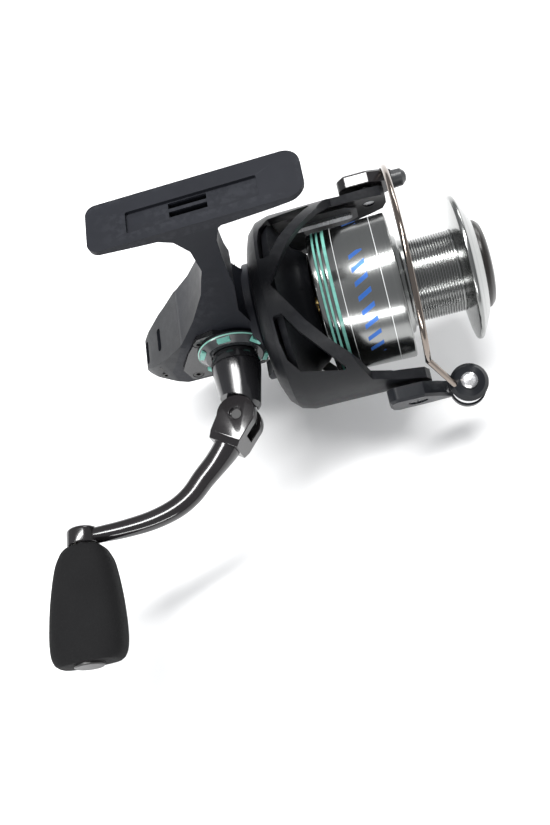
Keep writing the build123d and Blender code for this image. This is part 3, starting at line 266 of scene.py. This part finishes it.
def trimmed_ring(name, colour, accent):
    """Dark ring with a thin accent line round its outer edge."""
    finish = Finish(name)
    across, out, rise = finish.split(HUB)
    outer_edge = finish.radius(across, rise).band(11.75 * MM, 12.4 * MM, 0.05 * MM)
    line = outer_edge * (0.0 - out).band(12.75 * MM, 13.15 * MM, 0.04 * MM)
    drift = finish.noise(5 * MM, 3.0)
    tone = finish.mix(drift, colour, tuple(part * 1.6 for part in colour))
    return finish.set(colour=finish.mix(line, tone, accent), rough=drift * 0.1 + 0.2,
                      coat=0.4, coat_rough=0.08, normal=finish.bump(finish.noise(0.5 * MM, 3.0), 0.008 * MM))


def spool_skin(name, colour):
    """Anodised turned alloy, with two printed white lines and a row of slanted blue bars round the skirt."""
    finish = Finish(name)
    along, across, rise = finish.split(HEART)
    spread = finish.radius(across, rise)
    ring_place = finish.node("ShaderNodeCombineXYZ", {}, {"X": along, "Y": spread * 0.5, "Z": 0.0})
    rings = finish.noise(0.3 * MM, 1.0, 0.5, place=ring_place)
    coarse = finish.noise(1.1 * MM, 1.0, 0.5, place=ring_place)
    stain = finish.noise(12 * MM, 3.0)
    turn = finish.node("ShaderNodeMath", {"operation": "ARCTAN2"}, {0: rise, 1: across})
    skirt = spread.step(24.0 * MM, 24.2 * MM)
    lines = (along.band(40.4 * MM, 40.62 * MM, 0.04 * MM)
             + along.band(53.6 * MM, 53.82 * MM, 0.04 * MM)) * skirt
    slant = (turn * 5.2521 + along * 110.0).maths("FRACT")
    bars = along.band(44.8 * MM, 49.4 * MM, 0.06 * MM) * slant.band(0.25, 0.6, 0.012) * skirt
    row_end = (turn * 0.47746 + 0.411).maths("FRACT").band(0.14, 0.86, 0.002)
    metal = finish.mix(rings * 0.5 + coarse * 0.25 + stain * 0.25,
                       tuple(part * 0.86 for part in colour), tuple(part * 1.12 for part in colour))
    lined = finish.mix(lines, metal, (0.8, 0.82, 0.82))
    printed = finish.mix(bars * row_end, lined, (0.03, 0.12, 0.42))
    ink = (lines + bars * row_end).maths("MINIMUM", 1.0)
    return finish.set(
        colour=printed, metal=1.0 - ink * 0.6,
        rough=(rings - 0.5) * 0.12 + (stain - 0.5) * 0.08 + ink * 0.12 + 0.2,
        normal=finish.bump(rings + coarse * 0.6, 0.0012 * MM),
    )


def pressed_felt(name):
    finish = Finish(name)
    fibre = finish.noise(0.3 * MM, 6.0, 0.7, (3.0, 1.0, 1.0))
    return finish.set(colour=finish.mix(fibre, (0.5, 0.48, 0.43), (0.8, 0.78, 0.72)),
                      rough=fibre * 0.1 + 0.85, sheen=0.3, normal=finish.bump(fibre, 0.08 * MM))


FINISHES = {
    "case_coat": satin_coat("charcoal coat", (0.0105, 0.0115, 0.0155), 0.46, wear=0.1, mottle=0.07),
    "rear_shell": satin_coat("rear coat", (0.009, 0.010, 0.0125), 0.36, wear=0.1, mottle=0.07),
    "gloss_shell": gloss_coat("gloss black shell", (0.006, 0.006, 0.007)),
    "ring_coat": trimmed_ring("trim ring coat", (0.02, 0.022, 0.024), (0.2, 0.46, 0.38)),
    "mint": satin_coat("mint enamel", (0.16, 0.42, 0.35), 0.25, wear=0.1, coat=0.4),
    "steel": turned_metal("turned steel", (0.55, 0.55, 0.56), 0.28),
    "gear_alloy": turned_metal("gear alloy", (0.45, 0.45, 0.44), 0.38, tint=0.18),
    "brass": turned_metal("machined brass", (0.66, 0.48, 0.2), 0.28),
    "cap_black": moulded("black cap plastic", (0.014, 0.014, 0.014), 0.38),
    "arm_gloss": gloss_coat("gloss black arm", (0.006, 0.005, 0.0055), 0.1, wear=0.05),
    "knob_black": speckled_grip("speckled grip"),
    "bush_plastic": moulded("white bush plastic", (0.55, 0.54, 0.5), 0.45),
    "rotor_coat": satin_coat("rotor coat", (0.007, 0.0075, 0.009), 0.42, wear=0.08, mottle=0.07),
    "lever_coat": satin_coat("lever coat", (0.010, 0.011, 0.0135), 0.32, wear=0.12, coat=0.08, mottle=0.06),
    "wire": turned_metal("stainless wire", (0.24, 0.205, 0.18), 0.1, line=0.001 * MM, tint=0.3),
    "cap_grey": moulded("dark cap plastic", (0.03, 0.031, 0.033), 0.34),
    "roller_chrome": turned_metal("hard chrome", (0.6, 0.6, 0.61), 0.1),
    "spool_alloy": spool_skin("spool alloy", (0.27, 0.275, 0.27)),
    "felt": pressed_felt("pressed felt"),
    "drag_black": moulded("drag knob plastic", (0.012, 0.0095, 0.008), 0.3),
}
SLOT_OF = {part["node"]: part["material_slot"] for part in frame["record"]["subparts"]}
BODY_OF = {node: body for body, nodes in frame["record"]["behaviour"]["bodies"].items() for node in nodes}
for node, thing in frame["nodes"].items():
    thing.data.materials.clear()
    thing.data.materials.append(FINISHES[SLOT_OF[node]])

for node in ("side_cover_screws", "rear_cover_screws", "fold_pin"):
    frame["nodes"][node].data.materials[0] = FINISHES["cap_black"]


# ---- mesh writing ----
def quads(rows, columns, wrap_rows=False):
    """Faces of a grid of points whose columns close on themselves; wrapped rows also join last to first."""
    row = np.arange(rows if wrap_rows else rows - 1)[:, None]
    column = np.arange(columns)[None, :]
    below, right = (row + 1) % rows, (column + 1) % columns
    corners = (row * columns + column, row * columns + right,
               below * columns + right, below * columns + column)
    spread = [np.broadcast_to(corner, (row.size, column.size)) for corner in corners]
    return np.stack(spread, -1).reshape(-1, 4)


def add_piece(name, mesh, node, smooth_below=32.0, bevel=0.0, segments=2, merge=True):
    """Puts a finished mesh in the scene in place of a CAD node, riding with that node's body."""
    work = bmesh.new()
    work.from_mesh(mesh)
    if merge:
        bmesh.ops.remove_doubles(work, verts=work.verts, dist=0.002 * MM)
        bmesh.ops.dissolve_degenerate(work, edges=work.edges, dist=0.001 * MM)
    bmesh.ops.recalc_face_normals(work, faces=work.faces)
    work.to_mesh(mesh)
    work.free()
    mesh.polygons.foreach_set("use_smooth", np.ones(len(mesh.polygons), bool))
    mesh.set_sharp_from_angle(angle=radians(smooth_below))
    thing = bpy.data.objects.new(name, mesh)
    bpy.context.scene.collection.objects.link(thing)
    mesh.materials.clear()
    mesh.materials.append(FINISHES[SLOT_OF[node]])
    if bevel:
        rounding = thing.modifiers.new("rounded edges", "BEVEL")
        rounding.width = bevel
        rounding.segments = segments
        rounding.limit_method = "ANGLE"
        rounding.angle_limit = radians(28)
        rounding.harden_normals = False
        rounding.use_clamp_overlap = True
    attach(thing, BODY_OF[node])
    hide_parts(node)
    return thing


def grid_mesh(name, points, wrap_rows=False, caps=False):
    """A mesh from a grid of points; caps close both ends with one face each."""
    rows, columns = points.shape[:2]
    faces = [tuple(face) for face in quads(rows, columns, wrap_rows).tolist()]
    if caps:
        faces += [tuple(range(columns))[::-1], tuple(range((rows - 1) * columns, rows * columns))]
    mesh = bpy.data.meshes.new(name)
    mesh.from_pydata(points.reshape(-1, 3).tolist(), [], faces)
    return mesh


def rounded(profile, radius, steps=4):
    """A closed outline with each corner swapped for a quadratic curve that starts radius before it."""
    corners = np.array(profile, float)
    before, after = np.roll(corners, 1, 0), np.roll(corners, -1, 0)
    reach_in = np.linalg.norm(before - corners, axis=1, keepdims=True)
    reach_out = np.linalg.norm(after - corners, axis=1, keepdims=True)
    start = corners + (before - corners) / reach_in * np.minimum(radius, reach_in * 0.45)
    end = corners + (after - corners) / reach_out * np.minimum(radius, reach_out * 0.45)
    part = np.linspace(0, 1, steps)[None, :, None]
    curve = ((1 - part) ** 2 * start[:, None] + 2 * part * (1 - part) * corners[:, None]
             + part ** 2 * end[:, None])
    return curve.reshape(-1, 2)


def turned(name, profile, node, origin=HEART, axis=ALONG_SHAFT, segments=160, radius=0.25, smooth_below=50.0):
    """A closed outline of (along, radius), in millimetres, carried once round an axis."""
    outline = rounded(profile, radius) * MM
    along, spread = outline[:, 0], np.maximum(outline[:, 1], 0)
    turn = np.linspace(0, 2 * pi, segments, endpoint=False)
    third = np.cross(axis, UP)
    round_way = np.cos(turn)[:, None] * UP + np.sin(turn)[:, None] * third
    points = origin + along[:, None, None] * axis + spread[:, None, None] * round_way[None]
    return add_piece(name, grid_mesh(name, points, wrap_rows=True), node, smooth_below)


def softened(node, bevel, segments=2, name=None, part_of=None):
    """A copy of a CAD part's mesh, merged, with flat regions joined and its edges rounded.

    part_of is a point and a direction: everything beyond the point that way is cut off and closed.
    """
    mesh = frame["nodes"][node].data.copy()
    stored = mesh.attributes.get("custom_normal")
    if stored:
        mesh.attributes.remove(stored)
    work = bmesh.new()
    work.from_mesh(mesh)
    bmesh.ops.remove_doubles(work, verts=work.verts, dist=0.004 * MM)
    bmesh.ops.dissolve_degenerate(work, edges=work.edges, dist=0.002 * MM)
    bmesh.ops.dissolve_limit(work, angle_limit=radians(0.6), verts=work.verts, edges=work.edges)
    if part_of:
        everything = work.verts[:] + work.edges[:] + work.faces[:]
        cut = bmesh.ops.bisect_plane(work, geom=everything, dist=0.001 * MM, plane_co=part_of[0],
                                     plane_no=part_of[1], clear_outer=True)
        loop = [edge for edge in cut["geom_cut"] if isinstance(edge, bmesh.types.BMEdge)]
        bmesh.ops.contextual_create(work, geom=loop)
    work.to_mesh(mesh)
    work.free()
    return add_piece(name or node + ".skin", mesh, node, bevel=bevel, segments=segments, merge=False)


for node, bevel, segments in (
    ("gear_housing", 0.55 * MM, 3), ("rear_cover", 0.5 * MM, 3), ("side_cover", 0.35 * MM, 2),
    ("rotor", 0.5 * MM, 3), ("bail_arm", 0.55 * MM, 3), ("bail_holder", 0.6 * MM, 3),
    ("handle_shank", 0.35 * MM, 2),
):
    softened(node, bevel, segments)

# ---- the spool ----
GROOVES = 17
GROOVE_FROM, GROOVE_TO = 63.5, 78.1
start = GROOVE_FROM + np.arange(GROOVES) * (GROOVE_TO - GROOVE_FROM) / GROOVES
drum = np.stack([np.stack([start + step, np.full(GROOVES, 13.9 - sink)], 1)
                 for step, sink in ((0.0, 0.0), (0.1, 0.55), (0.36, 0.55), (0.46, 0.0))], 1).reshape(-1, 2)
SKIRT = [(32.3, 23.3), (32.25, 24.1), (32.6, 24.3), (33.9, 24.3), (33.9, 24.05), (34.75, 24.05),
         (34.75, 24.33), (35.5, 24.33), (35.5, 24.05), (36.35, 24.05), (36.35, 24.36), (37.3, 24.36),
         (37.3, 24.05), (38.45, 24.05),
         (38.45, 24.4), (57.4, 24.86), (58.7, 24.86), (59.15, 24.4), (59.4, 17.3), (60.6, 16.6), (61.2, 15.0),
         (62.4, 14.6), (63.0, 13.9)]
INSIDE = [(78.55, 13.85), (78.55, 12.25), (66.0, 12.25), (66.0, 2.9), (56.25, 2.9), (56.25, 6.5), (57.0, 6.8),
          (63.95, 7.15), (63.95, 11.85), (59.9, 12.45), (57.3, 16.0), (57.0, 22.4), (56.0, 23.25),
          (34.0, 23.35)]
turned("spool.body", SKIRT + drum.tolist() + INSIDE, "spool", segments=224, radius=0.1, smooth_below=30.0)
turned("spool.rim", [(78.65, 12.7), (78.62, 13.9), (79.0, 15.2), (79.6, 20.0), (80.15, 24.0), (80.6, 24.38),
                     (81.5, 24.38), (81.9, 24.0), (82.9, 21.9), (83.2, 21.4), (85.2, 17.1), (85.55, 16.0),
                     (85.55, 15.4), (80.45, 15.4), (80.45, 12.7)], "spool_rim", segments=224)
turned("drag.cap", [(74.05, 2.05), (74.05, 7.95), (82.6, 7.95), (82.6, 13.6), (81.05, 13.6), (81.05, 14.95),
                    (86.7, 14.9), (88.2, 13.4), (88.9, 10.5), (89.2, 5.0), (89.25, 0.0), (85.4, 0.0),
                    (85.4, 2.05)],
       "drag_knob", radius=0.6)


# ---- the crank's arm and knob ----
def carried(path, across, half_widths, half_heights, power=2.6, around=40):
    """A grid of points: a rounded section carried along a path.

    The section is |u|^p + |v|^p = 1, widened by half_widths along across and by half_heights along
    the direction square to it and to the path; every argument that varies is given at each station.
    """
    path = np.array(path)
    run = np.gradient(path, axis=0)
    run /= np.linalg.norm(run, axis=1, keepdims=True)
    tall = np.broadcast_to(across, path.shape)
    wide = np.cross(run, tall)
    turn = np.linspace(0, 2 * pi, around, endpoint=False)
    u = np.sign(np.cos(turn)) * np.abs(np.cos(turn)) ** (2 / power)
    v = np.sign(np.sin(turn)) * np.abs(np.sin(turn)) ** (2 / power)
    points = (path[:, None] + wide[:, None] * (u[None, :] * half_widths[:, None])[..., None]
              + tall[:, None] * (v[None, :] * half_heights[:, None])[..., None])
    return points


def smooth_through(stations, count):
    """A smooth curve through stations: cubic Hermite runs, each end's slope taken from its neighbours."""
    stations = np.array(stations, float)
    slopes = np.gradient(stations, axis=0)
    place = np.linspace(0, len(stations) - 1, count)
    first = np.minimum(place.astype(int), len(stations) - 2)
    part = (place - first)[:, None]
    a, b = stations[first], stations[first + 1]
    m, n = slopes[first], slopes[first + 1]
    return ((2 * part ** 3 - 3 * part ** 2 + 1) * a + (part ** 3 - 2 * part ** 2 + part) * m
            + (3 * part ** 2 - 2 * part ** 3) * b + (part ** 3 - part ** 2) * n)


# stations of the arm: x, out from the shaft, half width, half height
ARM = np.array([(-5.6, 44.8, 4.5, 5.0), (-8.0, 47.9, 4.2, 4.3), (-11.4, 51.3, 3.9, 3.5),
                (-16.0, 55.4, 3.7, 3.1), (-20.6, 59.9, 3.5, 2.9), (-26.2, 63.1, 3.3, 2.85),
                (-34.0, 65.1, 3.1, 2.8), (-43.0, 65.8, 2.9, 2.75),
                (-51.0, 65.8, 2.7, 2.7), (-57.7, 65.6, 2.5, 2.5)])
rod = smooth_through(ARM, 110)
rod_path = np.stack([rod[:, 0] * MM + HUB[0], -rod[:, 1] * MM, np.full(len(rod), KNOB[2])], 1)
rod_skin = carried(rod_path, UP, rod[:, 2] * MM, rod[:, 3] * MM, 2.3, 48)
add_piece("arm.rod", grid_mesh("rod", rod_skin, caps=True), "handle_arm", 60.0)
FIRST_RUN = np.array((-0.56, -0.83, 0.0))
KNUCKLE_END = FOLD + np.array((-5.7, -8.5, 0.0)) * MM
softened("handle_arm", 0.9 * MM, 3, "arm.knuckle", part_of=(KNUCKLE_END, FIRST_RUN))
turned("arm.boss", [(62.7, 2.45), (62.7, 4.3), (63.5, 5.2), (68.5, 5.2), (68.5, 2.45)], "handle_arm",
       origin=np.array((KNOB[0], 0.0, KNOB[2])), axis=OUTWARDS, segments=72, radius=0.6)

# stations from the knob end: out from the shaft, size along X, size along Z
GRIP = [(69.2, 10.4, 10.2), (69.7, 12.4, 11.4), (71.5, 15.3, 12.9), (76.0, 19.0, 14.0), (86.0, 22.3, 14.9),
        (96.0, 23.7, 14.9), (101.5, 23.2, 14.4), (104.2, 21.4, 12.6), (105.3, 19.0, 10.8)]
grip = smooth_through(GRIP, 90)
centre_x = KNOB[0] + 0.3 * MM
spine = np.stack([np.full(len(grip), centre_x), -grip[:, 0] * MM, np.full(len(grip), KNOB[2])], 1)
body = carried(spine, UP, grip[:, 1] * MM / 2, grip[:, 2] * MM / 2, 2.9, 96)
hole = np.full(len(grip), 4.62 * MM)
inner = carried(spine, UP, hole, hole, 2.0, 96)[::-1]
inner[:, :, 0] -= 0.3 * MM
add_piece("knob.grip", grid_mesh("grip", np.concatenate([body, inner]), wrap_rows=True), "knob_grip", 60.0)


# ---- the room ----
FLOOR_DROP = 6 * MM      # floor below the lowest part
FLOOR_HALF = 3.0
WORLD_LIGHT = 0.42
floor_mesh = bpy.data.meshes.new("floor")
low = cad_box[0][2] - FLOOR_DROP
floor_corners = [(across * FLOOR_HALF, along * FLOOR_HALF, low)
                 for across, along in ((-1, -1), (1, -1), (1, 1), (-1, 1))]
floor_mesh.from_pydata(floor_corners, [], [(0, 1, 2, 3)])
floor = bpy.data.objects.new("floor", floor_mesh)
bpy.context.scene.collection.objects.link(floor)
pale = Finish("pale floor")
tone = pale.noise(0.4, 2.0)
pale_grey = pale.mix(tone, (0.9, 0.9, 0.9), (0.93, 0.93, 0.93))
floor_mesh.materials.append(pale.set(colour=pale_grey, rough=tone * 0.1 + 0.8))

world = bpy.data.worlds.new("studio")
world.use_nodes = True
world.node_tree.nodes["Background"].inputs["Color"].default_value = (0.95, 0.97, 1.0, 1.0)
world.node_tree.nodes["Background"].inputs["Strength"].default_value = WORLD_LIGHT
bpy.context.scene.world = world
bpy.context.scene.view_settings.view_transform = "Standard"

# ---- camera, looking down on the crank side ----
AZIMUTH, ELEVATION, ROLL = radians(18.37), radians(62.3), radians(30.24)
back = np.array((sin(AZIMUTH) * cos(ELEVATION), -cos(AZIMUTH) * cos(ELEVATION), sin(ELEVATION)))
level = np.array((cos(AZIMUTH), sin(AZIMUTH), 0.0))
upright = np.cross(back, level)
right = cos(ROLL) * level - sin(ROLL) * upright
top = sin(ROLL) * level + cos(ROLL) * upright
DISTANCE, SHIFT_RIGHT, SHIFT_DOWN = 295.59 * MM, 14.3 * MM, 29.33 * MM
SENSOR, LENS = 36.0, 36.91
eye = HEART + back * DISTANCE + right * SHIFT_RIGHT - top * SHIFT_DOWN
camera_data = bpy.data.cameras.new("camera")
camera_data.sensor_fit = "VERTICAL"
camera_data.sensor_height = SENSOR
camera_data.lens = LENS
camera_data.clip_start = 0.01
camera = bpy.data.objects.new("camera", camera_data)
bpy.context.scene.collection.objects.link(camera)
turn = np.eye(4)
turn[:3, 0], turn[:3, 1], turn[:3, 2], turn[:3, 3] = right, top, back, eye
camera.matrix_world = Matrix(turn.tolist())
bpy.context.scene.camera = camera


def soft_light(name, place, target, size, strength, tall=None):
    """A flat soft light at a place, turned to face a target."""
    data = bpy.data.lights.new(name, "AREA")
    data.shape = "RECTANGLE"
    data.size, data.size_y = size, tall or size
    data.energy = strength
    light = bpy.data.objects.new(name, data)
    bpy.context.scene.collection.objects.link(light)
    facing = np.array(place, float) - np.array(target, float)
    facing /= np.linalg.norm(facing)
    side = np.cross(UP, facing)
    side /= np.linalg.norm(side)
    stance = np.eye(4)
    stance[:3, 0], stance[:3, 1], stance[:3, 2], stance[:3, 3] = side, np.cross(facing, side), facing, place
    light.matrix_world = Matrix(stance.tolist())
    return light


soft_light("overhead", HEART + np.array((-0.05, 0.15, 0.9)), HEART, 0.9, 13.0, 0.16)
soft_light("front", HEART + np.array((-0.3, -0.8, 0.35)), HEART, 0.9, 5.0, 0.12)
soft_light("right", HEART + np.array((0.45, 0.7, 0.45)), HEART, 0.5, 3.0, 0.25)
